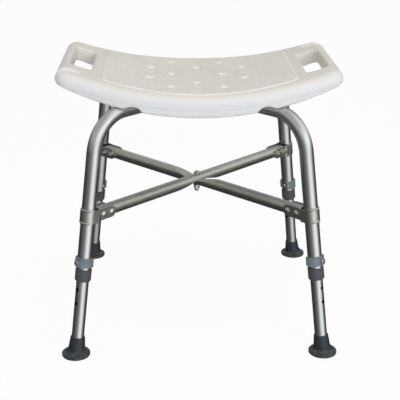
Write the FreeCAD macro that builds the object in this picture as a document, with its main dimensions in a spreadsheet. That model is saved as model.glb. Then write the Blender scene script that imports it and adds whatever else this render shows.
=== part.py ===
import FreeCAD, Part
import math
import os
import re
import Sketcher
from FreeCAD import Placement, Rotation, Vector

# Height-adjustable bath bench: a curved moulded seat on two inverted-U tubular
# frames that cross under the seat, a cross brace, and four telescopic legs with
# spring clips, pins and rubber feet.
# Frame: +Z up, origin on the floor under the seat centre, X along the seat,
# front towards -Y.  Millimetres and degrees.

DIMS = [
    # seat
    ("seat_len", 504.0), ("seat_mid_depth", 330.0), ("seat_end_depth", 280.0),
    ("seat_thick", 38.2), ("seat_low_arc", 600.0), ("seat_top_z", 459.3),
    ("seat_arc", 708.0), ("seat_corner", 27.0), ("seat_top_round", 16.0),
    ("seat_low_round", 4.5),
    ("skin_top", 4.5), ("skin_low", 3.0), ("skin_side", 10.0), ("skin_tool", 3.0),
    ("grip_len", 151.0), ("grip_wide", 38.0), ("grip_x", 211.0), ("grip_corner", 11.0),
    ("grip_shift", 11.0), ("grip_land", 25.5),
    ("dish_dia", 21.0), ("dish_deep", 4.5), ("drain_dia", 6.5),
    ("notch_x", 118.0), ("notch_wide", 34.0), ("notch_high", 8.2),
    ("notch_start_y", 112.0), ("notch_run", 62.0),
    ("scoop_dia", 26.0), ("scoop_deep", 10.0),
    ("cut_low", 380.0), ("recess_dia", 42.0), ("recess_clear", 4.0),
    # frame
    ("plan_deg", 45.5), ("lean_deg", 8.7), ("leg_floor_rad", 317.6),
    ("bar_z", 429.5), ("bend_rad", 73.0), ("tube_dia", 25.4), ("tube_wall", 1.3),
    ("tube_end", 144.1), ("tube_gap", 0.6),
    ("lap_half", 38.0), ("lap_run", 15.0), ("lap_gap", 0.05),
    ("press_half", 14.0), ("press_run", 56.0),
    ("brace_z", 256.8), ("brace_dia", 22.2), ("brace_wall", 1.4), ("brace_end", 259.8),
    # telescopic legs
    ("inner_dia", 22.2), ("inner_wall", 1.3), ("inner_low", 10.6), ("inner_top", 267.2),
    ("pin_s", 176.0), ("hole_pitch", 25.4), ("hole_count", 7.0), ("inner_hole", 7.0),
    ("outer_hole", 6.9), ("pin_dia", 6.3), ("pin_tip", 15.5), ("pin_head", 19.2),
    ("pin_round", 1.3),
    ("clip_in", 25.7), ("clip_out", 32.6), ("clip_high", 15.7), ("clip_gap_deg", 96.0),
    ("boss_dia", 11.5), ("boss_reach", 18.6), ("boss_start", 8.0),
    ("collar_out", 28.8), ("collar_low", 141.5), ("collar_top", 163.4),
    ("collar_lip", 22.7), ("collar_bore", 25.5),
    ("bevel_low", 1.8), ("bevel_top", 0.8),
    # feet
    ("foot_dia", 50.8), ("foot_flange", 6.4), ("foot_round", 2.3), ("foot_neck", 32.0),
    ("foot_mouth", 25.8), ("foot_high", 35.0), ("foot_bore", 22.3), ("foot_floor", 9.0),
    ("socket_low", 5.0), ("flare_rad", 7.6), ("flare_inset", 2.6), ("flare_sink", 0.1),
    ("disc_dia", 21.8), ("disc_thick", 1.5),
    # brackets
    ("strap_thick", 1.9), ("strap_gap", 0.05), ("lip_rad", 2.0), ("strap_high", 25.0),
    ("ear_high", 21.0), ("ear_reach", 53.5), ("ear_in", 11.2),
    ("bolt_one", 25.0), ("bolt_two", 44.0), ("bolt_dia", 5.9), ("bolt_hole", 6.3),
    ("head_dia", 10.2), ("head_high", 3.2), ("dome_rad", 6.6), ("bolt_tail", 3.2),
    ("nut_flats", 9.8), ("nut_high", 4.8), ("fit_gap", 0.02),
    # seat and crossing fasteners
    ("screw_r", 100.0), ("screw_hole", 6.6), ("screw_grip", 9.0),
    ("insert_dia", 9.0), ("insert_high", 10.5),
    ("washer_dia", 13.2), ("washer_high", 1.2), ("washer_bore", 6.4),
    ("cross_washer_dia", 12.0), ("cross_head_flats", 10.0), ("cross_head_high", 2.6),
    ("cross_bolt_len", 36.0), ("cross_bolt_drop", 20.5),
]

doc = FreeCAD.newDocument("bath_bench")
sheet = doc.addObject("Spreadsheet::Sheet", "Dims")
for row, (alias, number) in enumerate(DIMS, start=1):
    sheet.set(f"A{row}", alias)
    sheet.set(f"B{row}", repr(number))
    sheet.setAlias(f"B{row}", alias)
doc.recompute()

EXPORT = []


# ---------------------------------------------------------------- sheet sizes
# A size is a number, or an expression in which "@name" stands for a sheet dimension.
def dim(alias):
    return float(sheet.get(alias))


def sheet_ref(size):
    return size.lstrip("+").replace("@", "Dims.")


def value_of(size):
    """number for a flat sum of terms such as 2, @name and @name/2"""
    total = 0.0
    for sign, term, halved in re.findall(r"([+-]?)(@?[\w.]+)(/2)?", size):
        value = dim(term[1:]) if term.startswith("@") else float(term)
        if halved:
            value /= 2
        total += -value if sign == "-" else value
    return total


# ---------------------------------------------------------------- solids
X_AXIS, Y_AXIS, Z_AXIS = Vector(1, 0, 0), Vector(0, 1, 0), Vector(0, 0, 1)
UPRIGHT = Rotation()
HALF_TURN = Rotation(Z_AXIS, 180)
ALONG_X = Rotation(Y_AXIS, 90)                                      # z turned to +x
ALONG_Y = {1: Rotation(X_AXIS, -90), -1: Rotation(X_AXIS, 90)}      # z turned to +y, -y


def solid(kind, base, rot, **sizes):
    obj = doc.addObject("Part::" + kind, kind.lower())
    for prop, size in sizes.items():
        if isinstance(size, str):
            obj.setExpression(prop, sheet_ref(size))
        else:
            setattr(obj, prop, round(size, 6))
    obj.Placement = Placement(Vector(*base), rot)
    return obj


def cyl(radius, height, base=(0, 0, 0), rot=UPRIGHT, angle=360.0):
    return solid("Cylinder", base, rot, Radius=radius, Height=height, Angle=angle)


def cone(low, top, height, base, rot=UPRIGHT):
    return solid("Cone", base, rot, Radius1=low, Radius2=top, Height=height)


def box(length, width, height, base):
    return solid("Box", base, UPRIGHT, Length=length, Width=width, Height=height)


def ball(radius, base):
    return solid("Sphere", base, UPRIGHT, Radius=radius)


def ring(major, minor, base, rot=UPRIGHT, sweep=360.0):
    return solid("Torus", base, rot, Radius1=major, Radius2=minor, Angle3=sweep)


def hexagon(flats, height, base, rot=UPRIGHT):
    obj = solid("Prism", base, rot, Circumradius=f"({flats})/sqrt(3)", Height=height)
    obj.Polygon = 6
    return obj


def bore(radius, centre, rot=UPRIGHT):
    """cutter for a through hole, centred on a point"""
    reach = 30.0
    start = Vector(*centre) - rot.multVec(Z_AXIS) * reach
    return cyl(radius, 2 * reach, start, rot)


def fuse(*objs):
    obj = doc.addObject("Part::MultiFuse", "fuse")
    obj.Shapes = list(objs)
    return obj


def cut(base, tool):
    obj = doc.addObject("Part::Cut", "cut")
    obj.Base = base
    obj.Tool = tool
    return obj


def common(one, two):
    obj = doc.addObject("Part::Common", "common")
    obj.Base = one
    obj.Tool = two
    return obj


def group(objs):
    obj = doc.addObject("Part::Compound", "group")
    obj.Links = objs
    return obj


def loft(sections):
    obj = doc.addObject("Part::Loft", "loft")
    obj.Sections = sections
    obj.Solid = True
    obj.Ruled = True
    return obj


def rounded(base, pick, radius):
    """fillet over the edges that pick(edge) accepts"""
    doc.recompute()
    obj = doc.addObject("Part::Fillet", "fillet")
    obj.Base = base
    obj.Edges = [(i, radius, radius) for i, edge in enumerate(base.Shape.Edges, start=1)
                 if pick(edge)]
    return obj


def is_circle(edge):
    return edge.Curve.TypeId == "Part::GeomCircle"


def out(obj, label, place=Placement()):
    obj.Label = label
    obj.Placement = place * obj.Placement
    EXPORT.append(obj)


# ---------------------------------------------------------------- sketches
def origin_feature(body, role):
    return next(f for f in body.Origin.OriginFeatures if f.Role == role)


def new_body(name):
    return doc.addObject("PartDesign::Body", name)


def new_sketch(body, name, role, offset=(0, 0, 0)):
    sketch = body.newObject("Sketcher::SketchObject", name)
    sketch.AttachmentSupport = [(origin_feature(body, role), "")]
    sketch.MapMode = "FlatFace"
    sketch.AttachmentOffset = Placement(Vector(*offset), UPRIGHT)
    return sketch


def drive(sketch, size, kind, *where, value=None):
    """add a sized constraint bound to the sheet"""
    if value is None:
        value = value_of(size)
    index = sketch.addConstraint(Sketcher.Constraint(kind, *where, value))
    sketch.setExpression(f"Constraints[{index}]", sheet_ref(size))


def add_line(sketch, start, end):
    return sketch.addGeometry(Part.LineSegment(Vector(*start, 0), Vector(*end, 0)), False)


def add_arc(sketch, centre_y, radius, middle, half_angle):
    circle = Part.Circle(Vector(0, centre_y, 0), Z_AXIS, radius)
    arc = Part.ArcOfCircle(circle, middle - half_angle, middle + half_angle)
    return sketch.addGeometry(arc, False)


def add_circle(sketch, radius):
    circle = sketch.addGeometry(Part.Circle(Vector(), Z_AXIS, value_of(radius)), False)
    drive(sketch, radius, "Radius", circle)
    sketch.addConstraint(Sketcher.Constraint("Coincident", circle, 3, -1, 1))


def add_polygon(sketch, points):
    """closed polygon; each point is an (x size, y size) pair"""
    places = [(value_of(x), value_of(y)) for x, y in points]
    ends = places[1:] + places[:1]
    lines = [add_line(sketch, start, end) for start, end in zip(places, ends)]
    for line, following in zip(lines, lines[1:] + lines[:1]):
        sketch.addConstraint(Sketcher.Constraint("Coincident", line, 2, following, 1))
    for line, (x, y) in zip(lines, points):
        drive(sketch, x, "DistanceX", -1, 1, line, 1)
        drive(sketch, y, "DistanceY", -1, 1, line, 1)


def pad_midplane(body, profile, length):
    pad = body.newObject("PartDesign::Pad", "pad")
    pad.Profile = profile
    pad.Midplane = True
    pad.setExpression("Length", sheet_ref(length))
    body.Tip = pad


# ---------------------------------------------------------------- leg geometry
PLAN = dim("plan_deg")
LEAN = dim("lean_deg")
SIN_LEAN = math.sin(math.radians(LEAN))
COS_LEAN = math.cos(math.radians(LEAN))
TILT = Rotation(Y_AXIS, -LEAN)        # z turned up the leg
FLOOR_R = dim("leg_floor_rad")

# corner: azimuth, and the local y side that faces front or back, away from the seat centre
CORNERS = {"fl": (180.0 + PLAN, 1), "fr": (-PLAN, -1), "br": (PLAN, 1), "bl": (180.0 - PLAN, -1)}

# diagonal: azimuth, and the half cleared at the crossing (-1 below, 1 above), so that
# the tube from front-right to back-left lies under the other
DIAGONALS = {"fl_br": (PLAN, -1), "fr_bl": (-PLAN, 1)}


def upright_place(corner, radius, z):
    """upright frame at a radius towards a corner, x outward"""
    azimuth = CORNERS[corner][0]
    angle = math.radians(azimuth)
    return Placement(Vector(radius * math.cos(angle), radius * math.sin(angle), z),
                     Rotation(Z_AXIS, azimuth))


def leg_place(corner):
    """origin on the floor at the leg axis, z up the leg, x outward"""
    return upright_place(corner, FLOOR_R, 0.0) * Placement(Vector(), TILT)


def leg_radius(z):
    return FLOOR_R - z * SIN_LEAN / COS_LEAN


def leg_point(along):
    """point on the leg axis, in the XZ plane of its frame, at a length from the floor"""
    return Vector(FLOOR_R - along * SIN_LEAN, 0, along * COS_LEAN)


BAR_Z = dim("bar_z")
BEND_R = dim("bend_rad")
TUBE_R = dim("tube_dia") / 2
BEND_TURN = 90.0 - LEAN
BEND_TANGENT = BEND_R * math.tan(math.radians(BEND_TURN / 2))
BEND_START = leg_radius(BAR_Z) - BEND_TANGENT
LEG_BEND = BAR_Z / COS_LEAN - BEND_TANGENT      # length up the leg to its bend


# ---------------------------------------------------------------- frame tubes
def u_rod(radius, leg_start):
    """solid rod along the U path in its own XZ plane, legs begun at leg_start"""
    parts = [cyl(radius, 2 * BEND_START, (-BEND_START, 0, BAR_Z), ALONG_X)]
    for end in (UPRIGHT, HALF_TURN):
        parts.append(ring("@bend_rad", radius,
                          end.multVec(Vector(BEND_START, 0, BAR_Z - BEND_R)),
                          end * Rotation(X_AXIS, 90) * Rotation(Z_AXIS, LEAN), BEND_TURN))
        parts.append(cyl(radius, LEG_BEND - leg_start,
                         end.multVec(leg_point(leg_start)), end * TILT))
    return fuse(*parts)


def lap_tool(radius, side, wall, half, run, z=0.0):
    """prism that clears one half of a tube at the crossing: side 1 the top, -1 the bottom"""
    towards, away = ("+", "-") if side > 0 else ("-", "+")
    overshoot = 2
    middle = f"{away}@lap_gap{away}{wall}"
    edge = f"{towards}{radius}{towards}{overshoot}{away}{wall}"
    body = new_body("lap")
    profile = new_sketch(body, "lap_profile", "XZ_Plane")
    add_polygon(profile, [(f"-{half}-{wall}", middle), (f"{half}+{wall}", middle),
                          (f"{half}+{wall}+{run}", edge), (f"-{half}-{wall}-{run}", edge)])
    pad_midplane(body, profile, "@tube_dia*2")
    body.Placement = Placement(Vector(0, 0, z), UPRIGHT)
    return body


def frame_tube(diagonal):
    azimuth, side = DIAGONALS[diagonal]
    lap = ("@lap_half", "@lap_run", BAR_Z)
    tube_end = dim("tube_end")
    outer = cut(u_rod("@tube_dia/2", tube_end), lap_tool("@tube_dia/2", side, "0", *lap))
    inner = cut(u_rod("@tube_dia/2-@tube_wall", tube_end - 1.0),
                lap_tool("@tube_dia/2", side, "@tube_wall", *lap))
    holes = [bore("@screw_hole/2", (x, 0, BAR_Z)) for x in (0, dim("screw_r"), -dim("screw_r"))]
    for end in (UPRIGHT, HALF_TURN):
        holes.append(bore("@outer_hole/2", end.multVec(leg_point(dim("pin_s"))),
                          end * Rotation(Y_AXIS, 90 - LEAN)))
    out(cut(cut(outer, inner), fuse(*holes)), "frame_tube_" + diagonal,
        Placement(Vector(), Rotation(Z_AXIS, azimuth)))


def washer(diameter, x, y, z):
    return cut(cyl(f"{diameter}/2", "@washer_high", (x, y, z)),
               bore("@washer_bore/2", (x, y, z)))


def frame_crossing():
    """bolt with its head in the seat recess, washer and nut below the bars"""
    fit_gap = dim("fit_gap")
    bar_low = BAR_Z - TUBE_R
    washer_z = bar_low - dim("washer_high") - 0.01
    nut_z = bar_low - dim("washer_high") - fit_gap - dim("nut_high")
    out(fuse(cyl("@bolt_dia/2", "@cross_bolt_len", (0, 0, BAR_Z - dim("cross_bolt_drop"))),
             hexagon("@cross_head_flats", "@cross_head_high", (0, 0, BAR_Z + TUBE_R + fit_gap))),
        "frame_crossing_bolt")
    out(cut(hexagon("@nut_flats", "@nut_high", (0, 0, nut_z)),
            bore("@bolt_dia/2+@fit_gap", (0, 0, BAR_Z))), "frame_crossing_nut")
    out(washer("@cross_washer_dia", 0, 0, washer_z), "frame_crossing_washer")


# ---------------------------------------------------------------- seat
SEAT_ARC = dim("seat_arc")
SEAT_TOP = dim("seat_top_z")
LOW_ARC = dim("seat_low_arc")
SEAT_UNDER = SEAT_TOP - dim("seat_thick")
ROOF_Z = BAR_Z + TUBE_R + dim("tube_gap")       # top of the channels for the bars

DRAINS = [(-87, 41), (-87, -41), (87, 41), (87, -41),
          (-47.5, 100), (-47.5, 0), (-47.5, -100),
          (47.5, 100), (47.5, 0), (47.5, -100), (0, 62), (0, -62)]

# height from the seat top, added half width, added half length, tilted with the top
GRIP_SECTIONS = [(6.0, 7.5, 8.5, True), (0.0, 2.6, 4.0, True), (-2.4, 0.7, 1.8, True),
                 (-6.0, 0.0, 0.4, True), (-16.0, -0.5, -0.4, False), (-70.0, -0.5, -0.4, False)]


def top_z(x):
    return SEAT_TOP + SEAT_ARC - math.sqrt(SEAT_ARC ** 2 - x * x)


def under_z(x):
    return SEAT_UNDER + LOW_ARC - math.sqrt(LOW_ARC ** 2 - x * x)


def top_place(x, y):
    """frame on the seat top, tilted square to it"""
    tilt = math.degrees(math.asin(x / SEAT_ARC))
    return Placement(Vector(x, y, top_z(x)), Rotation(Y_AXIS, -tilt))


def chord_radius(half, rise):
    """radius of the arc over a half chord with a given rise"""
    return (half * half + rise * rise) / (2 * rise)


def screw_points():
    radius = dim("screw_r")
    angles = [math.radians(PLAN), math.radians(-PLAN)]
    return [(sign * radius * math.cos(angle), sign * radius * math.sin(angle))
            for angle in angles for sign in (1, -1)]


def arched_band(name, top_drop, low_rise):
    """band between the top arc and a tighter lower arc, so that its ends are thinner"""
    top_size, low_size = f"@seat_arc+{top_drop}", f"@seat_low_arc-{low_rise}"
    end_size = "@seat_len/2+30"
    top_centre, low_centre = SEAT_TOP + SEAT_ARC, SEAT_UNDER + LOW_ARC
    end_x = value_of(end_size)
    body = new_body(name)
    profile = new_sketch(body, name + "_profile", "XZ_Plane")
    arcs, end_heights = [], []
    for size, centre in ((top_size, top_centre), (low_size, low_centre)):
        radius = value_of(size)
        half_angle = math.asin(end_x / radius)
        arcs.append(add_arc(profile, centre, radius, -math.pi / 2, half_angle))
        end_heights.append(centre - radius * math.cos(half_angle))
    top, low = arcs
    right, left = [add_line(profile, (x, end_heights[0]), (x, end_heights[1]))
                   for x in (end_x, -end_x)]
    for constraint in (("Coincident", top, 2, right, 1), ("Coincident", low, 2, right, 2),
                       ("Coincident", top, 1, left, 1), ("Coincident", low, 1, left, 2),
                       ("PointOnObject", top, 3, -2), ("PointOnObject", low, 3, -2),
                       ("Vertical", right), ("Vertical", left)):
        profile.addConstraint(Sketcher.Constraint(*constraint))
    drive(profile, "@seat_top_z+@seat_arc", "DistanceY", -1, 1, top, 3)
    drive(profile, "@seat_top_z-@seat_thick+@seat_low_arc", "DistanceY", -1, 1, low, 3)
    drive(profile, top_size, "Radius", top)
    drive(profile, low_size, "Radius", low)
    drive(profile, end_size, "DistanceX", -1, 1, right, 1)
    drive(profile, end_size, "DistanceX", left, 1, -1, 1)
    pad_midplane(body, profile, "@seat_mid_depth+60")
    return body


def plan_block(name, inset):
    """tall block on the plan outline: bowed long edges, straight ends, rounded corners"""
    height = 300.0
    end_x_size, end_y_size = f"@seat_len/2-{inset}", f"@seat_end_depth/2-{inset}"
    end_x, end_y = value_of(end_x_size), value_of(end_y_size)
    mid_y = value_of(f"@seat_mid_depth/2-{inset}")
    bow = chord_radius(end_x, mid_y - end_y)
    half_angle = math.asin(end_x / bow)
    body = new_body(name)
    profile = new_sketch(body, name + "_profile", "XY_Plane")
    back = add_arc(profile, mid_y - bow, bow, math.pi / 2, half_angle)
    front = add_arc(profile, bow - mid_y, bow, -math.pi / 2, half_angle)
    right = add_line(profile, (end_x, -end_y), (end_x, end_y))
    left = add_line(profile, (-end_x, end_y), (-end_x, -end_y))
    for line, end, arc, arc_end in ((right, 2, back, 1), (left, 1, back, 2),
                                    (left, 2, front, 1), (right, 1, front, 2)):
        profile.addConstraint(Sketcher.Constraint("Coincident", line, end, arc, arc_end))
    for line, end, sign_x, sign_y in ((right, 2, 1, 1), (left, 1, -1, 1),
                                      (left, 2, -1, -1), (right, 1, 1, -1)):
        for kind, size, sign in (("DistanceX", end_x_size, sign_x),
                                 ("DistanceY", end_y_size, sign_y)):
            where = (-1, 1, line, end) if sign > 0 else (line, end, -1, 1)
            drive(profile, size, kind, *where)
    bow_size = (f"(({end_x_size})^2+((@seat_mid_depth-@seat_end_depth)/2)^2)"
                "/(@seat_mid_depth-@seat_end_depth)")
    for arc in (back, front):
        drive(profile, bow_size, "Radius", arc, value=bow)
    pad = body.newObject("PartDesign::Pad", name + "_pad")
    pad.Profile = profile
    pad.Length = height
    body.Tip = pad
    doc.recompute()
    fillet = body.newObject("PartDesign::Fillet", name + "_corners")
    fillet.Base = (pad, [f"Edge{i}" for i, edge in enumerate(pad.Shape.Edges, start=1)
                         if abs(edge.BoundBox.ZLength - height) < 1
                         and edge.BoundBox.XLength < 0.1])
    fillet.setExpression("Radius", sheet_ref(f"@seat_corner-{inset}"))
    body.Tip = fillet
    body.Placement = Placement(Vector(0, 0, 300), UPRIGHT)
    return body


def slot_section(half_x, half_y, corner, z, place):
    """rounded rectangle at height z of a frame"""
    inset = corner * (1 - math.sqrt(0.5))
    near_x, near_y = half_x - corner, half_y - corner
    mid_x, mid_y = half_x - inset, half_y - inset
    # per side: its start, its end, the middle of the corner that follows
    points = [Vector(x, y, z) for x, y in (
        (half_x, -near_y), (half_x, near_y), (mid_x, mid_y),
        (near_x, half_y), (-near_x, half_y), (-mid_x, mid_y),
        (-half_x, near_y), (-half_x, -near_y), (-mid_x, -mid_y),
        (-near_x, -half_y), (near_x, -half_y), (mid_x, -mid_y))]
    edges = []
    for i in range(0, 12, 3):
        start, end, middle = points[i:i + 3]
        edges.append(Part.LineSegment(start, end).toShape())
        edges.append(Part.Arc(end, middle, points[(i + 3) % 12]).toShape())
    obj = doc.addObject("Part::Feature", "section")
    obj.Shape = Part.Wire(edges)
    obj.Placement = place
    return obj


def channel_tools(grow):
    """channels for the two bars, open below"""
    radius = "@tube_dia/2+@tube_gap+" + grow
    half_length = BEND_START + 6
    tools = []
    for azimuth in (PLAN, -PLAN):
        rod = u_rod(radius, 300.0)
        slot = box(2 * half_length, f"2*({radius})", "@bar_z-@cut_low",
                   (-half_length, -value_of(radius), dim("cut_low")))
        channel = fuse(rod, slot)
        channel.Placement = Placement(Vector(), Rotation(Z_AXIS, azimuth))
        tools.append(channel)
    return tools


def notch_tools(extra):
    """relief arches through the front and back lips, each an arc over the notch width"""
    high = dim("notch_high") + extra
    radius = chord_radius(dim("notch_wide") / 2 + extra, high)
    z = under_z(dim("notch_x")) + high - radius
    start = dim("notch_start_y")
    return [cyl(radius, "@notch_run", (sign * dim("notch_x"), y, z), ALONG_Y[1])
            for sign in (1, -1) for y in (start, -start - dim("notch_run"))]


def grip_tools(extra):
    """hand grip slots with a rounded rim and a wider step in the underside"""
    half_x, half_y = dim("grip_wide") / 2 + extra, dim("grip_len") / 2 + extra
    tools = []
    for sign in (1, -1):
        # each grip is set away from the hose rest of its own end
        x, y = sign * dim("grip_x"), -sign * dim("grip_shift")
        tilted = top_place(x, y)
        straight_x = tilted.multVec(Vector(0, 0, -6.0)).x
        sections = []
        for z, add_x, add_y, is_tilted in GRIP_SECTIONS:
            place = tilted
            if not is_tilted:
                place = Placement(Vector(straight_x, y, top_z(x) + z), UPRIGHT)
            sections.append(slot_section(half_x + add_x, half_y + add_y,
                                         dim("grip_corner") + max(add_x, 0) * 0.7 + extra,
                                         z if is_tilted else 0.0, place))
        tools.append(loft(sections))
        tools.append(loft([slot_section(half_x + 6.5, half_y + 15.0, 16.0 + extra, z, tilted)
                           for z in (-dim("grip_land") + extra, -80.0)]))
    return tools


def drain_tools(grow, extra):
    """spherical dishes in the top, each with a drain hole"""
    deep = dim("dish_deep")
    radius = chord_radius(dim("dish_dia") / 2, deep)
    tools = []
    for x, y in DRAINS:
        place = top_place(x, y)
        tools.append(ball(radius + extra, place.multVec(Vector(0, 0, radius - deep))))
        tools.append(cyl("@drain_dia/2+" + grow, 70.0, place.multVec(Vector(0, 0, -60)),
                         place.Rotation))
    return tools


def hose_rest_tools(grow):
    """round-ended troughs, open at the seat end, at the back-right and front-left corners"""
    radius = dim("scoop_dia") / 2
    deep = dim("scoop_deep")
    overshoot = 20
    tools = []
    for sign in (1, -1):
        outer_x, inner_x = sign * dim("seat_len") / 2, sign * 217.0
        outer = Vector(outer_x, sign * 119.0, top_z(outer_x) + radius - deep)
        inner = Vector(inner_x, sign * 113.0, top_z(inner_x) + radius - deep * 0.55)
        run = inner - outer
        length = run.Length
        run.normalize()
        tools.append(cyl("@scoop_dia/2+" + grow, length + overshoot, outer - run * overshoot,
                         Rotation(Z_AXIS, run)))
        tools.append(ball("@scoop_dia/2+" + grow, inner))
    return tools


def seat_tools(grow):
    """everything taken out of the seat; grow thickens it to leave walls round the cuts"""
    extra = value_of(grow)
    overlap = 2
    tools = channel_tools(grow)
    # recess over the crossing for the bolt head
    tools.append(cyl("@recess_dia/2+" + grow,
                     "@bar_z-@cut_low+@tube_dia/2+@recess_clear+" + grow,
                     (0, 0, dim("cut_low"))))
    # insert holes in the channel roof
    for x, y in screw_points():
        tools.append(cyl("@insert_dia/2+" + grow, f"@insert_high+{overlap}+{grow}",
                         (x, y, ROOF_Z - overlap)))
    tools += notch_tools(extra)
    tools += grip_tools(extra)
    tools += drain_tools(grow, extra)
    tools += hose_rest_tools(grow)
    return fuse(*tools)


def on_surface(surface_z):
    """edge selector: the middle of the edge lies on a surface z(x)"""
    def pick(edge):
        point = edge.valueAt((edge.FirstParameter + edge.LastParameter) / 2)
        return abs(point.z - surface_z(point.x)) < 0.5
    return pick


def seat():
    block = common(arched_band("seat_band", "0", "0"), plan_block("seat_plan", "0"))
    block = rounded(block, on_surface(top_z), dim("seat_top_round"))
    block = rounded(block, on_surface(under_z), dim("seat_low_round"))
    cavity = common(arched_band("cavity_band", "@skin_top", "@skin_low"),
                    plan_block("cavity_plan", "@skin_side"))
    hollow = cut(cavity, seat_tools("@skin_tool"))
    out(cut(cut(block, seat_tools("0")), hollow), "seat")


def seat_fixings():
    """inserts in the channel roof, screws and washers from below"""
    bar_low = BAR_Z - TUBE_R
    head_top = bar_low - 1.3
    shank_low = bar_low - 1.35
    inserts, screws, washers = [], [], []
    for x, y in screw_points():
        inserts.append(cut(cyl("@insert_dia/2-0.03", "@insert_high-0.1", (x, y, ROOF_Z)),
                           bore("@bolt_dia/2+0.03", (x, y, ROOF_Z))))
        screws.append(fuse(cyl("@bolt_dia/2", "@tube_dia+1.35+@tube_gap+@screw_grip",
                               (x, y, shank_low)),
                           cyl("@head_dia/2", "@head_high",
                               (x, y, head_top - dim("head_high")))))
        washers.append(washer("@washer_dia", x, y, bar_low - 1.25))
    out(group(inserts), "seat_inserts")
    out(group(screws), "seat_screws")
    out(group(washers), "seat_washers")


# ---------------------------------------------------------------- cross brace
BRACE_Z = dim("brace_z")
BRACE_R = dim("brace_dia") / 2
BRACE_LEG_R = leg_radius(BRACE_Z)


def brace_tube(diagonal):
    azimuth, side = DIAGONALS[diagonal]
    lap = ("@press_half", "@press_run")
    half_length = dim("brace_end")
    outer = cut(cyl("@brace_dia/2", "2*@brace_end", (-half_length, 0, 0), ALONG_X),
                lap_tool("@brace_dia/2", side, "0", *lap))
    inner = cut(cyl("@brace_dia/2-@brace_wall", "2*@brace_end+4",
                    (-half_length - 2, 0, 0), ALONG_X),
                lap_tool("@brace_dia/2", side, "@brace_wall", *lap))
    holes = [bore("@screw_hole/2", (0, 0, 0))]
    for sign in (1, -1):
        for inset in ("bolt_one", "bolt_two"):
            holes.append(bore("@bolt_hole/2", (sign * (BRACE_LEG_R - dim(inset)), 0, 0),
                              ALONG_Y[1]))
    out(cut(cut(outer, inner), fuse(*holes)), "brace_tube_" + diagonal,
        Placement(Vector(0, 0, BRACE_Z), Rotation(Z_AXIS, azimuth)))


def brace_crossing():
    """bolt from above with a tapered head, two washers and a domed cap nut below"""
    top, low = BRACE_Z + BRACE_R, BRACE_Z - BRACE_R
    fit_gap = dim("fit_gap")
    head_z = top + 1.25
    rim_high = 1.6
    out(fuse(cyl("@bolt_dia/2", "@brace_dia+14", (0, 0, low - 12.0)),
             cyl(5.4, rim_high, (0, 0, head_z)),
             cone(5.4, 3.2, 1.9, (0, 0, head_z + rim_high))), "brace_bolt")
    out(group([washer("@washer_dia", 0, 0, top + fit_gap),
               washer("@washer_dia", 0, 0, low - dim("washer_high") - fit_gap)]),
        "brace_washers")
    nut_top = low - 1.24
    dome_r = 4.6
    dome_z = nut_top - 8.2
    cap_nut = fuse(hexagon("@nut_flats", 6.0, (0, 0, nut_top - 6.0)),
                   cyl(dome_r, 2.4, (0, 0, dome_z)),
                   ball(dome_r, (0, 0, dome_z)))
    out(cut(cap_nut, cyl("@bolt_dia/2+@fit_gap", 11.2, (0, 0, nut_top - 11.0))),
        "brace_cap_nut")


# ---------------------------------------------------------------- leg brackets
STRAP_IN = "@tube_dia/2+@strap_gap"
STRAP_OUT = STRAP_IN + "+@strap_thick"
EAR_FACE = dim("ear_in") + dim("strap_thick")


def bracket_strap(side):
    """strap round the leg with straight cheeks and a lip bead at both edges"""
    half_high = dim("strap_high") / 2
    cheek = 14.5
    cheek_inset = 1
    cut_back = 13.5                 # the strap ends this far behind the leg axis
    bead_sweep = 72.0
    bead_turn = Rotation(Z_AXIS, 25 * side - bead_sweep / 2)
    outer = fuse(cyl(STRAP_OUT, "@strap_high", (0, 0, -half_high)),
                 box(cheek, f"2*({STRAP_OUT})", "@strap_high-2",
                     (-cheek, -value_of(STRAP_OUT), -half_high + cheek_inset)),
                 *[ring(STRAP_OUT + "-0.4", "@lip_rad", (0, 0, z), bead_turn, bead_sweep)
                   for z in (half_high - 1.2, -half_high + 1.2)])
    strap = cut(outer, fuse(bore(STRAP_IN, (0, 0, 0)),
                            box(30.0, f"2*({STRAP_IN})", 60.0, (-30, -value_of(STRAP_IN), -30)),
                            box(40.0, 60.0, 60.0, (-40 - cut_back, -30, -30))))
    strap.Placement = Placement(Vector(), TILT)
    return strap


def bracket_ear(side):
    """flat ear with a round tip, and the jog that joins it to the strap"""
    tip_x = -(dim("ear_reach") - dim("ear_high") / 2)
    low_y = dim("ear_in") if side > 0 else -EAR_FACE
    plate = box("@ear_reach-16-@ear_high/2", "@strap_thick", "@ear_high",
                (tip_x, low_y, -dim("ear_high") / 2))
    tip = cyl("@ear_high/2", "@strap_thick", (tip_x, low_y, 0), ALONG_Y[1])
    sign = "+" if side > 0 else "-"
    strap_y = f"{sign}@tube_dia/2{sign}@strap_gap"
    ear_y = f"{sign}@ear_in"
    thick = f"{sign}@strap_thick"
    jog = new_body("jog")
    profile = new_sketch(jog, "jog_profile", "XY_Plane")
    add_polygon(profile, [("-10", strap_y), ("-10", strap_y + thick), ("-13", strap_y + thick),
                          ("-18", ear_y + thick), ("-18", ear_y), ("-13", strap_y)])
    pad_midplane(jog, profile, "@ear_high")
    return [plate, tip, jog]


def leg_bracket(corner):
    side = CORNERS[corner][1]
    blank = fuse(bracket_strap(side), *bracket_ear(1), *bracket_ear(-1))
    holes = fuse(*[bore("@bolt_hole/2", (-dim(inset), 0, 0), ALONG_Y[1])
                   for inset in ("bolt_one", "bolt_two")])
    out(cut(blank, holes), "leg_bracket_" + corner, upright_place(corner, BRACE_LEG_R, BRACE_Z))


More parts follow.
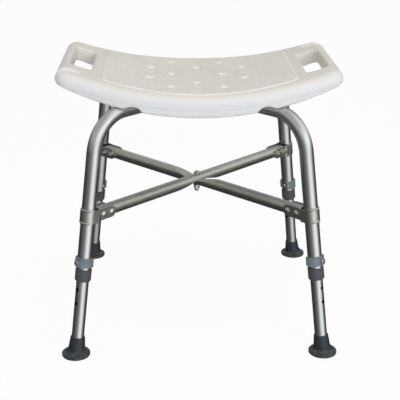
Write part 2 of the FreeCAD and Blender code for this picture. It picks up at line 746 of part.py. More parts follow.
def bracket_bolt(corner, x):
    """domed bolt through ears and brace: head facing front on front legs, back on back legs"""
    side = CORNERS[corner][1]
    turn = ALONG_Y[side]
    seat_y = EAR_FACE + dim("fit_gap")
    tail = dim("nut_high") + dim("bolt_tail")
    shank = cyl("@bolt_dia/2", 2 * EAR_FACE + tail + 1.0, (x, -side * (EAR_FACE + tail), 0), turn)
    rim = cyl("@head_dia/2", 1.2, (x, side * seat_y, 0), turn)
    dome_y = seat_y + dim("head_high") - dim("dome_rad")
    dome = common(ball("@dome_rad", (x, side * dome_y, 0)),
                  cyl("@head_dia/2", 12.0, (x, side * (EAR_FACE + 0.5), 0), turn))
    bolt = fuse(shank, rim, dome)
    bolt.Placement = upright_place(corner, BRACE_LEG_R, BRACE_Z)
    return bolt


def bracket_nut(corner, x):
    side = CORNERS[corner][1]
    nut = cut(hexagon("@nut_flats", "@nut_high", (x, -side * (EAR_FACE + dim("fit_gap")), 0),
                      ALONG_Y[-side]),
              bore("@bolt_dia/2+@fit_gap", (x, 0, 0), ALONG_Y[side]))
    nut.Placement = upright_place(corner, BRACE_LEG_R, BRACE_Z)
    return nut


# ---------------------------------------------------------------- telescopic legs
def leg_collar(corner):
    """bevelled collar on the end of the frame tube, with a small bump on one side"""
    low, top = dim("collar_low"), dim("collar_top")
    side = CORNERS[corner][1]
    collar = fuse(cone("@collar_out/2-1.4", "@collar_out/2", "@bevel_low", (0, 0, low)),
                  cyl("@collar_out/2", "@collar_top-@collar_low-@bevel_low-@bevel_top",
                      (0, 0, low + dim("bevel_low"))),
                  cone("@collar_out/2", "@collar_out/2-0.8", "@bevel_top",
                       (0, 0, top - dim("bevel_top"))),
                  ball(1.0, (0, (dim("collar_out") / 2 - 0.3) * side, low + 12.5)))
    out(cut(collar, fuse(cyl("@collar_lip/2", 60.0, (0, 0, low - 5)),
                         cyl("@collar_bore/2", 60.0, (0, 0, dim("tube_end") - 0.05)))),
        "leg_collar_" + corner, leg_place(corner))


def extension_leg(corner):
    """tube with a row of holes, the pin in the middle one"""
    body = new_body("extension_leg_" + corner)
    section = new_sketch(body, "leg_ring", "XY_Plane", (0, 0, dim("inner_low")))
    add_circle(section, "@inner_dia/2")
    add_circle(section, "@inner_dia/2-@inner_wall")
    pad = body.newObject("PartDesign::Pad", "leg_pad")
    pad.Profile = section
    pad.setExpression("Length", sheet_ref("@inner_top-@inner_low"))
    body.Tip = pad
    doc.recompute()
    first_hole = dim("pin_s") - (dim("hole_count") - 1) / 2 * dim("hole_pitch")
    hole = new_sketch(body, "leg_hole", "YZ_Plane", (0, first_hole, 0))
    add_circle(hole, "@inner_hole/2")
    pocket = body.newObject("PartDesign::Pocket", "leg_bore")
    pocket.Profile = hole
    pocket.Type = "ThroughAll"
    pocket.Midplane = True
    body.Tip = pocket
    doc.recompute()
    row = body.newObject("PartDesign::LinearPattern", "leg_holes")
    row.Originals = [pocket]
    row.Direction = (origin_feature(body, "Z_Axis"), [""])
    row.setExpression("Length", sheet_ref("@hole_pitch*(@hole_count-1)"))
    row.setExpression("Occurrences", sheet_ref("@hole_count"))
    body.Tip = row
    doc.recompute()
    out(body, "extension_leg_" + corner, leg_place(corner))


def rubber_foot(corner):
    """flat flange on the floor, concave flare, and a socket along the leg"""
    def along_leg(length):
        return (-length * SIN_LEAN, 0, length * COS_LEAN)

    flare_out = "@foot_dia/2-@flare_inset"
    flare_z = dim("foot_flange") - dim("flare_sink")
    flange = rounded(cyl("@foot_dia/2", "@foot_flange"), is_circle, dim("foot_round"))
    flare = cut(cyl(flare_out, "@flare_rad", (0, 0, flare_z)),
                ring(flare_out, "@flare_rad", (0, 0, flare_z + dim("flare_rad"))))
    socket = cone("@foot_neck/2", "@foot_mouth/2", "@foot_high-@socket_low",
                  along_leg(dim("socket_low")), TILT)
    # leg bore, and a shallow tapered hollow in the underside
    hollows = fuse(cyl("@foot_bore/2", 60.0, along_leg(dim("foot_floor")), TILT),
                   cone(15.0, 11.5, 1.6, (0, 0, -0.6)))
    out(cut(fuse(flange, flare, socket), hollows), "rubber_foot_" + corner,
        upright_place(corner, FLOOR_R, 0.0))


def foot_disc(corner):
    """disc in the foot, under the tube end"""
    out(cyl("@disc_dia/2", "@disc_thick", (0, 0, dim("foot_floor") + 0.05)),
        "foot_disc_" + corner, leg_place(corner))


def lock_clip(corner):
    """split ring, open towards the bench centre, with a boss on the outward side"""
    z = dim("pin_s")
    shell = fuse(cyl("@clip_out/2", "@clip_high", (0, 0, z - dim("clip_high") / 2)),
                 cyl("@boss_dia/2", "@boss_reach-@boss_start", (dim("boss_start"), 0, z),
                     ALONG_X))
    opening = cyl(40.0, 60.0, (0, 0, z - 30), Rotation(Z_AXIS, 180 - dim("clip_gap_deg") / 2),
                  "@clip_gap_deg")
    pin_bore = cyl("@pin_dia/2+@fit_gap", 60.0, (0, 0, z), ALONG_X)
    out(cut(shell, fuse(bore("@clip_in/2", (0, 0, z)), opening, pin_bore)),
        "lock_clip_" + corner, leg_place(corner))


def lock_pin(corner):
    pin = cyl("@pin_dia/2", "@pin_tip+@pin_head", (-dim("pin_tip"), 0, dim("pin_s")), ALONG_X)
    out(rounded(pin, is_circle, dim("pin_round")), "lock_pin_" + corner, leg_place(corner))


# ---------------------------------------------------------------- build
for diagonal in DIAGONALS:
    frame_tube(diagonal)
frame_crossing()
seat()
seat_fixings()
for diagonal in DIAGONALS:
    brace_tube(diagonal)
brace_crossing()

bolts, nuts = [], []
for corner in CORNERS:
    leg_bracket(corner)
    for inset in ("bolt_one", "bolt_two"):
        bolts.append(bracket_bolt(corner, -dim(inset)))
        nuts.append(bracket_nut(corner, -dim(inset)))
    leg_collar(corner)
    extension_leg(corner)
    rubber_foot(corner)
    foot_disc(corner)
    lock_clip(corner)
    lock_pin(corner)
out(group(bolts), "bracket_bolts")
out(group(nuts), "bracket_nuts")
doc.recompute()

# ---------------------------------------------------------------- state and export
faults = []
for obj in doc.Objects:
    states = [state for state in obj.State if state in ("Invalid", "Error")]
    if states:
        faults.append(f"{obj.Name} ({obj.Label}): {states}")
for obj in EXPORT:
    if obj.Shape.isNull() or not obj.Shape.isValid():
        faults.append(f"{obj.Label}: null or invalid shape")
    elif not obj.Shape.Solids:
        faults.append(f"{obj.Label}: no solid")
if faults:
    raise RuntimeError("; ".join(faults))

os.makedirs("parts", exist_ok=True)
for obj in EXPORT:
    obj.Shape.exportStep(os.path.join("parts", obj.Label + ".step"))
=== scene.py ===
"""Four-legged stool: a moulded plastic seat on an aluminium frame with crossed braces,
extension legs and rubber feet.

Metres, +Z up. The seat is long in X, the floor lies just under z = 0, the front faces -Y
and left is -X. Part names end in fl, fr, br, bl: front left, front right, back right, back left.
"""
import bpy
import bmesh
import math
import numpy as np
from mathutils import Vector, Matrix, noise
from mathutils.bvhtree import BVHTree


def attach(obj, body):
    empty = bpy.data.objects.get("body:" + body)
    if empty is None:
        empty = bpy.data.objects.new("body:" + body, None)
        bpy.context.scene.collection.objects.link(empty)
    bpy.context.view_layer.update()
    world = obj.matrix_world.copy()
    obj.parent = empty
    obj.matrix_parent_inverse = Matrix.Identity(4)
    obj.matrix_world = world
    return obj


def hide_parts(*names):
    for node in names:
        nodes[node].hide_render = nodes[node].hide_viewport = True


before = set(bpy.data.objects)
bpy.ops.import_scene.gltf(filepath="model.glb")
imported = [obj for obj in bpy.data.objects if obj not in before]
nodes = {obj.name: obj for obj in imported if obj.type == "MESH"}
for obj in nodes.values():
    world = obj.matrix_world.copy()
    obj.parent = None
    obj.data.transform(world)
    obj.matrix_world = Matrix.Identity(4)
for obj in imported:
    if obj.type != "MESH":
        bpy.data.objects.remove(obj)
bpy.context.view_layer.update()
scene = bpy.context.scene

# ------------------------------------------------------------------ sizes
# seat: its top follows an arc along X that is lowest at the middle
ARC_RADIUS = 0.708
TOP_Z = 0.4593              # top surface at the middle of the seat
SEAT_HALF_LENGTH = 0.252
SEAT_HALF_MID = 0.165       # half width at the middle
SEAT_HALF_END = 0.140       # half width at the ends
SEAM_DEPTH = 0.0225         # mould parting line below the top

# grained panel
PANEL_HALF_LENGTH = 0.1725
PANEL_HALF_MID = 0.1490
PANEL_HALF_END = 0.1225
PANEL_CORNER = 0.009
PANEL_RISE = 0.0021
GRAIN_INSET = 0.0015        # plain border inside the panel outline

# round dishes in the panel, centres (x, y)
DISHES = ([(x, y) for x in (-0.087, 0.087) for y in (-0.041, 0.041)]
          + [(x, y) for x in (-0.0475, 0.0475) for y in (-0.100, 0.0, 0.100)]
          + [(0.0, y) for y in (-0.062, 0.062)])
DISH_RADIUS = 0.0098
DISH_DEPTH = 0.0017

# straight round-ended hollow at the +X +Y corner, turned half round for the -X -Y one
HOLLOW_START = (0.215, 0.1125)
HOLLOW_END = (0.258, 0.1200)
HOLLOW_RADIUS = 0.0125
HOLLOW_DEPTH = 0.0036

# legs
LEG_AZIMUTH = math.radians(45.5)    # from the X axis
LEG_LEAN = math.radians(8.7)        # from upright


def arc_z(x):
    """Height of the seat's top at x."""
    return TOP_Z + ARC_RADIUS - np.sqrt(ARC_RADIUS * ARC_RADIUS - np.square(x))


def bowed_half_width(x, half_length, mid, end):
    return mid - (mid - end) * np.square(x / half_length)


def panel_distance(x, y):
    """Signed distance to the panel outline, negative inside."""
    half = bowed_half_width(x, PANEL_HALF_LENGTH, PANEL_HALF_MID, PANEL_HALF_END)
    over_x = np.abs(x) - PANEL_HALF_LENGTH + PANEL_CORNER
    over_y = np.abs(y) - half + PANEL_CORNER
    outside = np.sqrt(np.square(np.maximum(over_x, 0)) + np.square(np.maximum(over_y, 0)))
    return outside + np.minimum(np.maximum(over_x, over_y), 0) - PANEL_CORNER


def smooth01(t):
    t = np.clip(t, 0, 1)
    return t * t * (3 - 2 * t)


# ------------------------------------------------------------------ shader graph
NOISE_SPAN = (0.3, 0.7)     # the part of a noise value that is spread over a range


class Graph:
    """Builds the node tree of a material or world. Inputs take a socket or a value."""

    def __init__(self, owner):
        owner.use_nodes = True
        self.tree = owner.node_tree
        self.tree.nodes.clear()

    def feed(self, socket, value):
        if isinstance(value, bpy.types.NodeSocket):
            self.tree.links.new(value, socket)
        elif socket.type == "RGBA":
            socket.default_value = (*value, 1)
        else:
            socket.default_value = value

    def node(self, kind, inputs=None, **settings):
        node = self.tree.nodes.new("ShaderNode" + kind)
        for name, value in settings.items():
            setattr(node, name, value)
        for key, value in (inputs or {}).items():
            self.feed(node.inputs[key], value)
        return node

    def add(self, kind, inputs=None, output=0, **settings):
        return self.node(kind, inputs, **settings).outputs[output]

    def coords(self, scale=(1, 1, 1), rotation=(0, 0, 0)):
        place = self.add("TexCoord", output="Object")
        return self.add("Mapping", {"Vector": place, "Scale": scale, "Rotation": rotation})

    def xyz(self, vector):
        return self.node("SeparateXYZ", {0: vector}).outputs

    def noise(self, vector, scale, detail=4.0, roughness=0.55):
        inputs = {"Vector": vector, "Scale": scale, "Detail": detail, "Roughness": roughness}
        return self.add("TexNoise", inputs, output="Fac")

    def ramp(self, value, stops):
        """Colour ramp; each stop is (position, colour)."""
        node = self.node("ValToRGB", {0: value})
        elements = node.color_ramp.elements
        while len(elements) < len(stops):
            elements.new(0.5)
        for element, (position, color) in zip(elements, stops):
            element.position = position
            element.color = (*color, 1)
        return node.outputs[0]

    def mottle(self, value, low, high):
        """Noise as a drift between two colours."""
        return self.ramp(value, list(zip(NOISE_SPAN, (low, high))))

    def remap(self, value, span, to=(0.0, 1.0), **settings):
        inputs = {0: value, 1: span[0], 2: span[1], 3: to[0], 4: to[1]}
        return self.add("MapRange", inputs, **settings)

    def ease(self, value, span, to=(0.0, 1.0)):
        return self.remap(value, span, to, interpolation_type="SMOOTHSTEP")

    def calc(self, operation, *values):
        return self.add("Math", dict(enumerate(values)), operation=operation)

    def multiply(self, product, *factors):
        for factor in factors:
            product = self.calc("MULTIPLY", product, factor)
        return product

    def bump(self, height, strength, distance, below=None):
        inputs = {"Strength": strength, "Distance": distance, "Height": height}
        if below is not None:
            inputs["Normal"] = below
        return self.add("Bump", inputs)

    def mix(self, factor, first, second, blend="MIX"):
        return self.add("Mix", {0: factor, 6: first, 7: second}, output=2,
                        data_type="RGBA", blend_type=blend)

    def mix_shader(self, factor, first, second):
        return self.add("MixShader", {0: factor, 1: first, 2: second})

    def finish(self, kind, shader):
        self.node(kind, {0: shader})


def new_material(name):
    material = bpy.data.materials.new(name)
    return material, Graph(material)


def finish_principled(g, inputs):
    g.finish("OutputMaterial", g.add("BsdfPrincipled", inputs))


def tint(base, *factors):
    """Scale a colour by one factor, or by one for each channel."""
    if len(factors) == 1:
        factors = factors * 3
    return tuple(channel * factor for channel, factor in zip(base, factors))


def studio_glow(g, direction):
    """Brightness of the studio in a direction, as reflections see it."""
    x, y, z = g.xyz(direction)
    # azimuth: 0 towards the front, positive to the right
    azimuth = g.calc("ARCTAN2", x, g.calc("MULTIPLY", y, -1.0))

    def around(center, inner, outer, level):
        """Full level within `inner` degrees of the centre, none beyond `outer`."""
        offset = g.calc("SUBTRACT", azimuth, math.radians(center)) if center else azimuth
        return g.ease(g.calc("ABSOLUTE", offset),
                      span=(math.radians(inner), math.radians(outer)), to=(level, 0.0))

    # tall soft strip at the front right, fading below and overhead
    strip = around(center=34, inner=2, outer=62, level=1.0)
    window = g.multiply(g.ease(z, span=(-0.80, -0.35)),
                        g.ease(z, span=(0.35, 0.85), to=(1.0, 0.2)))
    strip = g.multiply(strip, window, 1.28)
    front = g.multiply(around(center=0, inner=30, outer=85, level=0.16), window)
    # pale right side above the horizon, and a soft ceiling
    side = g.multiply(around(center=88, inner=20, outer=60, level=0.62),
                      g.ease(z, span=(-0.05, 0.25)))
    ceiling = g.ease(z, span=(-0.12, 0.55), to=(0.0, 0.62))
    total = g.calc("ADD", g.calc("ADD", strip, front), g.calc("ADD", side, ceiling))
    ambient = 0.055
    return g.calc("ADD", total, ambient)


# ------------------------------------------------------------------ materials
def seat_material():
    material, g = new_material("seat_polyethylene")
    place = g.coords()
    warm = g.mottle(g.noise(place, scale=9.0, detail=3.0),
                    low=(0.735, 0.700, 0.640), high=(0.765, 0.732, 0.675))
    fine = g.noise(place, scale=900.0, roughness=0.6)

    # painted light and shade by facing: the top is painted warm and darker, upright faces paler
    # and cooler
    normal_z = g.xyz(g.add("NewGeometry", output="Normal"))[2]
    painted_top_shade = g.remap(normal_z, span=(0.35, 0.95))
    x, y, z = g.xyz(place)
    ends = g.ease(g.calc("ABSOLUTE", x), span=(0.236, 0.246))
    long_sides = g.ease(g.calc("ABSOLUTE", y), span=(0.108, 0.126))
    outer = g.calc("MAXIMUM", ends, long_sides)
    # the walls of the grips are painted as warm and dark as the top, painted shade under the
    # grip rims
    grip = g.multiply(g.ease(g.calc("ABSOLUTE", x), span=(0.176, 0.186)),
                      g.ease(g.calc("ABSOLUTE", y), span=(0.096, 0.106), to=(1.0, 0.0)),
                      g.calc("SUBTRACT", 1.0, ends),
                      g.remap(normal_z, span=(-0.6, -0.3)))
    painted_top_shade = g.calc("MAXIMUM", painted_top_shade, grip)
    color = g.mix(painted_top_shade, (0.780, 0.788, 0.795), warm)

    # painted shade in the pits and painted highlights on the ridges, dishes, hollows and panel
    # border, from the mesh attribute
    grain = g.add("Attribute", output="Fac", attribute_name="grain")
    shade = g.mix(g.remap(grain, span=(-1.0, 1.0)), (0.895, 0.885, 0.87), (1.10, 1.105, 1.115))

    # parting line part way down the upright outer faces, parallel to the top
    arc = g.calc("DIVIDE", g.multiply(x, x), 2 * ARC_RADIUS)
    from_top = g.calc("SUBTRACT", g.calc("SUBTRACT", z, arc), TOP_Z)
    from_seam = g.calc("ADD", from_top, SEAM_DEPTH)
    seam = g.ease(g.calc("ABSOLUTE", from_seam), span=(0.0004, 0.0016), to=(1.0, 0.0))
    upright = g.remap(normal_z, span=(0.15, 0.45), to=(1.0, 0.0))
    seam = g.multiply(seam, upright, outer)

    polish = g.noise(place, scale=60.0, detail=5.0)
    texture = g.bump(fine, strength=0.10, distance=0.0006)
    finish_principled(g, {
        "Base Color": g.mix(1.0, color, shade, blend="MULTIPLY"),
        "Roughness": g.remap(polish, NOISE_SPAN, to=(0.40, 0.52)),
        "Specular IOR Level": 0.45,
        "Subsurface Weight": 0.12,
        "Subsurface Radius": (0.006, 0.005, 0.004),
        "Subsurface Scale": 0.5,
        "Normal": g.bump(seam, strength=0.8, distance=0.0007, below=texture),
    })
    return material


def aluminium(name, direction, base, roughness, drawn=True):
    """Aluminium; drawn tube has fine lines along `direction`."""
    material, g = new_material(name)
    turn = Vector(direction).normalized().rotation_difference(Vector((0, 0, 1)))
    along = g.coords(scale=(1, 1, 0.012) if drawn else (1, 1, 1),
                     rotation=tuple(turn.to_euler("XYZ")))
    lines = g.noise(along, scale=1500.0 if drawn else 700.0, detail=3.0, roughness=0.6)
    cloud = g.noise(g.coords(), scale=22.0, detail=5.0, roughness=0.6)
    speck = g.noise(g.coords(), scale=420.0, detail=3.0, roughness=0.6)
    color = g.mottle(cloud, low=tint(base, 0.96, 0.96, 0.95), high=tint(base, 1.03))
    specks = g.remap(speck, span=(0.62, 0.78), to=(0.0, 0.12))
    texture = g.bump(lines, strength=0.06 if drawn else 0.10, distance=0.0004)
    finish_principled(g, {
        "Metallic": 1.0,
        "Base Color": g.mix(specks, color, tint(base, 0.8, 0.79, 0.76)),
        "Roughness": g.calc("ADD", g.remap(cloud, NOISE_SPAN, to=roughness),
                            g.remap(lines, NOISE_SPAN, to=(-0.02, 0.03))),
        "Normal": g.bump(speck, strength=0.02, distance=0.0003, below=texture),
    })
    return material


def plastic(name, base):
    """Grained plastic, paler on its convex edges."""
    material, g = new_material(name)
    place = g.coords()
    cloud = g.noise(place, scale=55.0, detail=5.0, roughness=0.6)
    fine = g.noise(place, scale=1100.0, detail=3.0, roughness=0.6)
    color = g.mottle(cloud, low=tint(base, 0.88), high=tint(base, 1.12))
    wear = g.remap(g.add("NewGeometry", output="Pointiness"), span=(0.52, 0.62), to=(0.0, 0.25))
    worn = tuple(channel * 1.9 + 0.03 for channel in base)
    finish_principled(g, {
        "Base Color": g.mix(wear, color, worn),
        "Roughness": g.remap(cloud, NOISE_SPAN, to=(0.42, 0.56)),
        "Normal": g.bump(fine, strength=0.18, distance=0.0006),
    })
    return material


def rubber():
    material, g = new_material("foot_rubber_blue_grey")
    place = g.coords()
    cloud = g.noise(place, scale=70.0, detail=6.0, roughness=0.65)
    fine = g.noise(place, scale=1400.0, detail=3.0, roughness=0.6)
    dust = g.noise(place, scale=160.0, detail=6.0, roughness=0.7)
    color = g.mottle(cloud, low=(0.014, 0.023, 0.029), high=(0.024, 0.035, 0.043))
    # dust low on the flange
    z = g.xyz(g.coords())[2]
    low_down = g.remap(z, span=(0.006, 0.015), to=(1.0, 0.0))
    dusty = g.multiply(low_down, g.remap(dust, span=(0.44, 0.62), to=(0.0, 0.72)))
    finish_principled(g, {
        "Base Color": g.mix(dusty, color, (0.105, 0.098, 0.072)),
        "Roughness": g.remap(cloud, NOISE_SPAN, to=(0.42, 0.60)),
        "Normal": g.bump(fine, strength=0.22, distance=0.0005),
    })
    return material


def small_metal(name, base, roughness):
    """Plated or brass metal for small parts."""
    material, g = new_material(name)
    place = g.coords()
    cloud = g.noise(place, scale=260.0, detail=5.0, roughness=0.65)
    fine = g.noise(place, scale=2600.0, detail=2.0)
    finish_principled(g, {
        "Metallic": 1.0,
        "Base Color": g.mottle(cloud, low=tint(base, 0.86), high=tint(base, 1.08)),
        "Roughness": g.remap(cloud, NOISE_SPAN, to=roughness),
        "Normal": g.bump(fine, strength=0.08, distance=0.0003),
    })
    return material


def leg_direction(azimuth):
    """Up along a leg that stands at `azimuth` and leans inwards."""
    return (-math.cos(azimuth) * math.sin(LEG_LEAN),
            -math.sin(azimuth) * math.sin(LEG_LEAN),
            math.cos(LEG_LEAN))


def dress(obj, material):
    obj.data.materials.clear()
    obj.data.materials.append(material)


TUBE = {"base": (0.585, 0.602, 0.604), "roughness": (0.25, 0.30)}
BRACE = {"base": (0.525, 0.520, 0.485), "roughness": (0.32, 0.42)}
LEG_AZIMUTHS = {"fl": math.pi + LEG_AZIMUTH, "fr": -LEG_AZIMUTH,
                "br": LEG_AZIMUTH, "bl": math.pi - LEG_AZIMUTH}
brace_x, brace_y = math.cos(LEG_AZIMUTH), math.sin(LEG_AZIMUTH)

seat_plastic = seat_material()
by_prefix = {
    "brace_tube_fl_br": aluminium("brace_alu_a", (brace_x, brace_y, 0), **BRACE),
    "brace_tube_fr_bl": aluminium("brace_alu_b", (brace_x, -brace_y, 0), **BRACE),
    "frame_tube": aluminium("frame_alu", (0, 0, 1), **TUBE),
}
leg_alu = {key: aluminium("leg_alu_" + key, leg_direction(azimuth), **TUBE)
           for key, azimuth in LEG_AZIMUTHS.items()}
by_prefix.update({
    "leg_bracket": aluminium("bracket_alu", (0, 0, 1), base=(0.535, 0.532, 0.498),
                             roughness=(0.30, 0.42), drawn=False),
    "lock_clip": plastic("clip_blue_grey", base=(0.132, 0.164, 0.186)),
    "leg_collar": plastic("collar_dark_grey", base=(0.058, 0.063, 0.072)),
    "rubber_foot": rubber(),
})
zinc = small_metal("zinc_plate", base=(0.66, 0.65, 0.62), roughness=(0.22, 0.38))
by_prefix["lock_pin"] = small_metal("pin_plate", base=(0.78, 0.78, 0.77), roughness=(0.16, 0.28))
brass = small_metal("insert_brass", base=(0.72, 0.54, 0.24), roughness=(0.25, 0.4))
by_name = {"seat": seat_plastic, "seat_inserts": brass}


def material_for(name):
    if name in by_name:
        return by_name[name]
    if name.startswith("extension_leg"):
        return leg_alu[name[-2:]]
    for prefix, material in by_prefix.items():
        if name.startswith(prefix):
            return material
    return zinc


for name, obj in nodes.items():
    dress(obj, material_for(name))


# ------------------------------------------------------------------ seat
def linked_verts(start, seen):
    """All vertices joined to `start` by edges; adds them to `seen`."""
    stack, part = [start], []
    seen.add(start)
    while stack:
        vert = stack.pop()
        part.append(vert)
        for edge in vert.link_edges:
            other = edge.other_vert(vert)
            if other not in seen:
                seen.add(other)
                stack.append(other)
    return part


def keep_outer_skin(bm):
    """Drop the closed air space inside: the outer skin is the longest part in X."""
    seen, parts = set(), []
    for vert in bm.verts:
        if vert not in seen:
            parts.append(linked_verts(vert, seen))

    def extent(part):
        length = max(v.co.x for v in part) - min(v.co.x for v in part)
        # the vertex count only settles a tie
        return length * 1000 + len(part) * 1e-6

    skin = set(max(parts, key=extent))
    bmesh.ops.delete(bm, geom=[v for v in bm.verts if v not in skin], context="VERTS")


def voxel_remesh(obj):
    modifier = obj.modifiers.new("remesh", "REMESH")
    modifier.mode = "VOXEL"
    modifier.voxel_size = 0.0022
    modifier.adaptivity = 0.0
    depsgraph = bpy.context.evaluated_depsgraph_get()
    mesh = bpy.data.meshes.new_from_object(obj.evaluated_get(depsgraph))
    obj.modifiers.clear()
    obj.data = mesh


def relax(bm, verts, passes):
    for _ in range(passes):
        bmesh.ops.smooth_vert(bm, verts=verts, factor=0.5,
                              use_axis_x=True, use_axis_y=True, use_axis_z=True)


def fit_to_surface(bm, surface):
    """Pull the voxel mesh back to the true surface, then relax it."""
    reach = 0.003
    for vert in bm.verts:
        nearest = surface.find_nearest(vert.co)[0]
        if nearest is not None and (nearest - vert.co).length < reach:
            vert.co = nearest
    relax(bm, bm.verts, passes=3)
    # soft moulded rims round the grips
    rims = [v for v in bm.verts if 0.180 < abs(v.co.x) < 0.242 and abs(v.co.y) < 0.096
            and v.co.z > arc_z(v.co.x) - 0.012]
    relax(bm, rims, passes=9)


def refine_panel(bm):
    """Finer mesh over the grained panel and the dishes."""
    margin, depth, least_up = 0.004, 0.0075, 0.2

    def in_panel(x, y, z):
        return panel_distance(x, y) < margin and z > arc_z(x) - depth

    faces = [f for f in bm.faces
             if in_panel(*f.calc_center_median()) and f.normal.z > least_up]
    edges = set(e for f in faces for e in f.edges)
    bmesh.ops.subdivide_edges(bm, edges=list(edges), cuts=1, use_grid_fill=True)
    bmesh.ops.triangulate(bm, faces=[f for f in bm.faces if len(f.verts) > 4])


def leather_height(x, y):
    """Short wandering ridges with pits between."""
    wander = noise.noise(Vector((x * 60, y * 60, 3.1))) * 0.9
    distances, _ = noise.voronoi(Vector((x * 235 + wander, y * 200 - wander * 0.8, 1.7)))
    cell = min(1.0, (distances[1] - distances[0]) * 1.6)
    ripple = noise.noise(Vector((x * 420, y * 380, 9.0)))
    cell_level, cell_height, ripple_height = 0.45, 0.00100, 0.00022
    return (cell - cell_level) * cell_height + ripple * ripple_height


def dish_profile(x, y):
    """1 at the centre of each dish, 0 from its edge outwards."""
    dish = np.zeros(len(x))
    for center_x, center_y in DISHES:
        radius = np.hypot(x - center_x, y - center_y) / DISH_RADIUS
        dish = np.maximum(dish, np.clip(1 - radius * radius, 0, 1))
    return dish


def hollow_profile(x, y):
    """1 along the middle of each corner hollow, 0 from its edge outwards."""
    hollow = np.zeros(len(x))
    for sign in (1, -1):
        start_x, start_y = (sign * value for value in HOLLOW_START)
        end_x, end_y = (sign * value for value in HOLLOW_END)
        run_x, run_y = end_x - start_x, end_y - start_y
        t = ((x - start_x) * run_x + (y - start_y) * run_y) / (run_x ** 2 + run_y ** 2)
        t = np.clip(t, 0, 1)
        distance = np.hypot(x - start_x - t * run_x, y - start_y - t * run_y)
        hollow = np.maximum(hollow, smooth01(1 - distance / HOLLOW_RADIUS))
    return hollow


def sculpt(bm):
    """Shape the top and return the painted light tone of each vertex: -1 painted shade in a pit
    to 1 painted highlight.
    """
    bm.normal_update()
    x, y, z = np.array([v.co[:] for v in bm.verts]).T
    normal_z = np.array([v.normal.z for v in bm.verts])
    arc = arc_z(x)
    above_arc = z - arc
    half = bowed_half_width(x, SEAT_HALF_LENGTH, SEAT_HALF_MID, SEAT_HALF_END)
    inset = np.minimum(SEAT_HALF_LENGTH - np.abs(x), half - np.abs(y))

    # plain parts of the top lie exactly on the arc
    plain = (np.abs(above_arc) < 0.0007) & (normal_z > 0.80) & (inset > 0.0145)
    base_z = np.where(plain, arc, z)

    # the panel stands a little proud, with a soft step all round
    border = panel_distance(x, y)
    on_top = (above_arc > -0.0065) & (normal_z > 0.25) & (inset > 0.012)
    step_foot, step_width = 0.0014, 0.0034
    panel = PANEL_RISE * smooth01((step_foot - border) / step_width) * on_top

    dish = dish_profile(x, y)
    hollow = hollow_profile(x, y) * ((above_arc > -0.022) & (normal_z > 0.1))

    # the grain fades out towards the panel border and stays clear of the dishes
    grain = np.zeros(len(x))
    for i in np.nonzero(on_top & (border < -GRAIN_INSET) & (above_arc > -0.0012))[0]:
        grain[i] = leather_height(float(x[i]), float(y[i]))
    fade_width = 0.003
    fade = smooth01((-border - GRAIN_INSET) / fade_width)
    grain = grain * fade * np.clip(1 - dish * 6, 0, 1)

    # move along the normal of the arc
    height = panel + grain - dish * DISH_DEPTH * on_top - hollow * HOLLOW_DEPTH
    arc_nx = -x / ARC_RADIUS
    arc_nz = np.sqrt(1 - arc_nx * arc_nx)
    places = np.stack([x + height * arc_nx, y, base_z + height * arc_nz], 1)
    for vert, place in zip(bm.verts, places):
        vert.co = Vector(place)

    # panel border, dishes and hollows get a painted highlight, paler than the grained panel
    full_tone_height = 0.00060
    # ridges get a painted highlight and pits painted shade, following the grain height
    painted_light_tone = np.clip(grain / full_tone_height, -1, 1)
    border_highlight_band = smooth01(1.6 - np.abs(border + 0.0006) / 0.0018) * on_top
    for painted_highlight in (border_highlight_band * 0.95, smooth01(dish * 2.4) * on_top, hollow * 0.8):
        painted_light_tone = np.maximum(painted_light_tone, painted_highlight)
    return painted_light_tone


def build_seat():
    bm = bmesh.new()
    bm.from_mesh(nodes["seat"].data)
    bmesh.ops.remove_doubles(bm, verts=bm.verts, dist=1e-6)
    keep_outer_skin(bm)
    surface = BVHTree.FromBMesh(bm)
    mesh = bpy.data.meshes.new("seat_shell")
    bm.to_mesh(mesh)
    bm.free()
    shell = bpy.data.objects.new("seat_shell", mesh)
    scene.collection.objects.link(shell)
    voxel_remesh(shell)

    bm = bmesh.new()
    bm.from_mesh(shell.data)
    fit_to_surface(bm, surface)
    refine_panel(bm)
    painted_light_tone = sculpt(bm)
    bm.to_mesh(shell.data)
    bm.free()

    # the "grain" attribute holds the painted light tone: painted shade in pits, painted
    # highlights on ridges, dishes, hollows and panel border
    attribute = shell.data.attributes.new("grain", "FLOAT", "POINT")
    attribute.data.foreach_set("value", painted_light_tone.astype(np.float32))
    for face in shell.data.polygons:
        face.use_smooth = True
    dress(shell, seat_plastic)
    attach(shell, "frame")
    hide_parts("seat")


build_seat()


# ------------------------------------------------------------------ floor
def floor_material():
    """Pale and glowing to the camera, the studio to reflections, clear from underneath."""
    material, g = new_material("floor_pale")
    color = g.mottle(g.noise(g.coords(), scale=1.5, detail=3.0),
                     low=(0.88, 0.88, 0.88), high=(0.90, 0.90, 0.90))
    matt = g.add("BsdfPrincipled", {"Base Color": color, "Roughness": 0.9,
                                    "Specular IOR Level": 0.0})
    ray = g.node("LightPath").outputs
    glow = g.add("Emission", {"Color": (1, 1, 1), "Strength": 1.0})
    glow_share = 0.95
    pale = g.mix_shader(glow_share, matt, glow)
    seen = g.mix_shader(ray["Is Camera Ray"], matt, pale)

    geometry = g.node("NewGeometry").outputs
    onward = g.add("VectorMath", {0: geometry["Incoming"], "Scale": -1.0}, operation="SCALE")
    reflected = g.add("Emission", {"Strength": studio_glow(g, onward)})
    shader = g.mix_shader(ray["Is Glossy Ray"], seen, reflected)

    below = g.multiply(geometry["Backfacing"], ray["Is Camera Ray"])
    g.finish("OutputMaterial", g.mix_shader(below, shader, g.add("BsdfTransparent")))
    return material


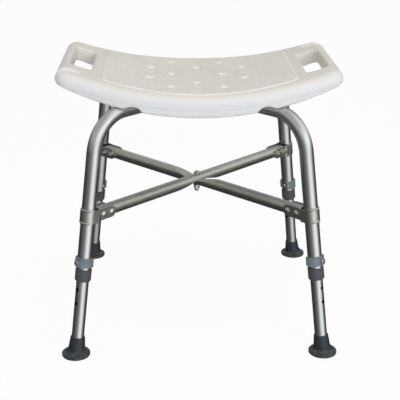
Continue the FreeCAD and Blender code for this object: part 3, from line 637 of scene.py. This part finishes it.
def build_floor():
    """Flat floor that sweeps up into a wall at the back."""
    half_size = 9.0
    sweep_start = 2.2       # y where the floor starts to rise
    sweep_radius = 3.0
    wall_top = 9.0
    drop = 0.0004           # below z = 0
    steps = 24
    flat_share = 0.6        # of the steps

    def row(bm, y, z):
        return [bm.verts.new((-half_size, y, z)), bm.verts.new((half_size, y, z))]

    bm = bmesh.new()
    rows = []
    for j in range(steps + 1):
        t = j / steps
        if t < flat_share:
            y, z = -half_size + t / flat_share * (half_size + sweep_start), 0.0
        else:
            angle = (t - flat_share) / (1 - flat_share) * math.pi / 2
            y = sweep_start + sweep_radius * math.sin(angle)
            z = sweep_radius - sweep_radius * math.cos(angle)
        rows.append(row(bm, y, z - drop))
    rows.append(row(bm, sweep_start + sweep_radius, wall_top))
    for near, far in zip(rows, rows[1:]):
        bm.faces.new((near[0], near[1], far[1], far[0]))
    mesh = bpy.data.meshes.new("floor")
    bm.to_mesh(mesh)
    bm.free()
    for face in mesh.polygons:
        face.use_smooth = True
    floor = bpy.data.objects.new("floor", mesh)
    scene.collection.objects.link(floor)
    dress(floor, floor_material())


build_floor()


# ------------------------------------------------------------------ lights and world
def area_light(name, place, target, width, height, power, color=(1, 1, 1)):
    """Rectangular light, hidden from reflections."""
    light = bpy.data.lights.new(name, "AREA")
    light.shape = "RECTANGLE"
    light.size = width
    light.size_y = height
    light.energy = power
    light.color = color
    obj = bpy.data.objects.new(name, light)
    scene.collection.objects.link(obj)
    obj.location = place
    aim = Vector(target) - Vector(place)
    obj.rotation_euler = aim.to_track_quat("-Z", "Y").to_euler()
    obj.visible_glossy = False


area_light("key_top", place=(0.3, -0.5, 3.0), target=(0, 0, 0.3),
           width=2.6, height=2.6, power=33)
area_light("fill_front", place=(1.5, -3.1, 1.3), target=(0, 0, 0.35),
           width=1.7, height=1.7, power=43, color=(0.97, 0.985, 1.0))
area_light("strip_left", place=(-2.6, -1.6, 1.3), target=(0, 0, 0.25),
           width=0.5, height=2.2, power=8, color=(0.95, 0.98, 1.0))


def build_world():
    """White to the camera, the studio to reflections, a soft grey sky to all else."""
    world = bpy.data.worlds.new("studio")
    scene.world = world
    g = Graph(world)
    ray = g.node("LightPath").outputs
    direction = g.add("TexCoord", output="Generated")
    upward = g.remap(g.xyz(direction)[2], span=(-1.0, 1.0))
    greys = [(0.45, (0.55,) * 3), (0.60, (0.60,) * 3), (0.85, (0.85,) * 3)]
    sky = g.add("Background", {"Color": g.ramp(upward, greys), "Strength": 0.53})
    reflected = g.add("Background", {"Strength": studio_glow(g, direction)})
    white = g.add("Background", {"Color": (1, 1, 1), "Strength": 1.0})
    lighting = g.mix_shader(ray["Is Glossy Ray"], sky, reflected)
    g.finish("OutputWorld", g.mix_shader(ray["Is Camera Ray"], lighting, white))


build_world()


# ------------------------------------------------------------------ camera
def build_camera():
    """Looks back and down at the stool from the front."""
    place = (-0.0585, -1.8201, 0.8791)
    yaw = 0.0356        # radians, from +Y towards +X
    pitch = 0.3459      # radians, downwards
    roll = 0.0076       # radians, lifts the camera's right side
    forward = Vector((math.sin(yaw) * math.cos(pitch), math.cos(yaw) * math.cos(pitch),
                      -math.sin(pitch)))
    level = Vector((math.cos(yaw), -math.sin(yaw), 0))
    upright = level.cross(forward)
    right = math.cos(roll) * level + math.sin(roll) * upright
    up = -math.sin(roll) * level + math.cos(roll) * upright

    lens = bpy.data.cameras.new("view")
    camera = bpy.data.objects.new("view", lens)
    scene.collection.objects.link(camera)
    rotation = Matrix((right, up, -forward)).transposed()
    camera.matrix_world = Matrix.Translation(place) @ rotation.to_4x4()
    lens.sensor_fit = "HORIZONTAL"
    lens.sensor_width = 36.0
    lens.lens = 89.4663
    lens.shift_y = -0.012525
    lens.clip_start = 0.05
    lens.clip_end = 60
    scene.camera = camera


build_camera()
scene.view_settings.view_transform = "Standard"
